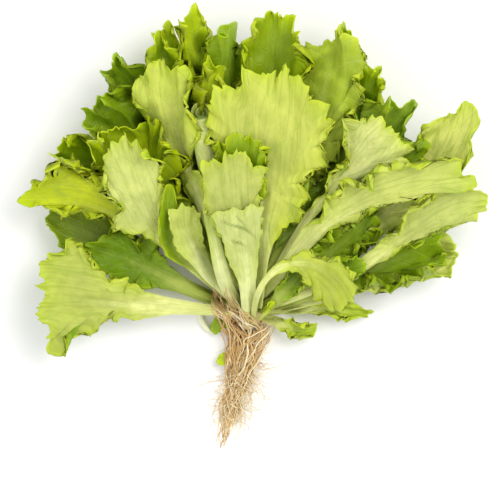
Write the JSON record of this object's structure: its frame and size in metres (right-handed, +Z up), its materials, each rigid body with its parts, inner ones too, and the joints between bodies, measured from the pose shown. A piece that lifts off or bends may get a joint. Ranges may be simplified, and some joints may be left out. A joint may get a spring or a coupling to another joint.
{
  "type": "head of lettuce",
  "caption": "Whole head of frilly loose-leaf lettuce with its roots, lying on its side with the leaves fanned out and the root tuft pointing the other way.",
  "frame": {"origin": "middle of the bottom of the head's box, on the surface that it lies on", "axes": "+Y from the crown towards the leaf tips, +X to the right across the fan of leaves, +Z up from the surface"},
  "size_m": [0.2986, 0.2824, 0.0761],
  "materials": {
    "leaf_pale": "matt pale underside of a leaf",
    "leaf_vivid": "waxy vivid green upper side of a leaf",
    "leaf_dark": "waxy dark green upper side of a leaf",
    "leaf_white": "smooth whitish stalk and base of a leaf",
    "leaf_yellow": "yellow-green young leaf",
    "crown": "matt cream stem",
    "root": "matt tan fibrous root"
  },
  "bodies": {
    "root": {"arching_leaf": "leaf_pale", "crown": "crown", "dark_leaf_by_roots": "leaf_dark", "front_leaf_big": "leaf_pale", "front_leaf_cropped": "leaf_white", "front_leaf_lobe": "leaf_pale", "front_leaf_pocket": "leaf_vivid", "front_leaf_stalk": "leaf_white", "inner_leaf_frilled": "leaf_dark", "leaflet_in_roots": "leaf_yellow", "left_leaf_cup": "leaf_vivid", "left_leaf_fan": "leaf_pale", "left_leaf_front": "leaf_pale", "left_leaf_glossy": "leaf_dark", "left_leaf_long": "leaf_vivid", "left_leaf_olive": "leaf_dark", "left_leaf_side_fold": "leaf_vivid", "left_leaf_stub": "leaf_white", "left_leaf_tall": "leaf_pale", "low_right_leaf_curl": "leaf_pale", "low_right_leaf_inner": "leaf_dark", "low_right_leaf_pale": "leaf_pale", "low_right_leaf_pocket": "leaf_dark", "low_right_leaf_small": "leaf_dark", "low_right_leaf_tip": "leaf_pale", "right_leaf_broad": "leaf_pale", "right_leaf_far": "leaf_pale", "right_leaf_frilled": "leaf_dark", "right_leaf_long": "leaf_pale", "right_leaf_middle": "leaf_dark", "right_leaf_shaded": "leaf_dark", "right_leaf_toothed": "leaf_pale", "rim_leaf_far_left": "leaf_vivid", "rim_leaf_flared": "leaf_yellow", "rim_leaf_left": "leaf_dark", "rim_leaf_left_high": "leaf_dark", "rim_leaf_right": "leaf_vivid", "rim_leaf_right_small": "leaf_vivid", "rim_leaf_striped": "leaf_vivid", "rim_leaf_yellow": "leaf_yellow", "rolled_leaf": "leaf_pale", "root_1": "root", "root_2": "root", "root_3": "root", "root_4": "root", "root_5": "root", "root_6": "root", "root_7": "root", "root_8": "root", "side_stem": "leaf_white", "top_leaf_blistered": "leaf_pale", "top_leaf_curl": "leaf_yellow", "top_leaf_folded": "leaf_vivid", "top_leaf_olive": "leaf_dark", "yellow_shoot": "leaf_yellow"}
  },
  "joints": []
}
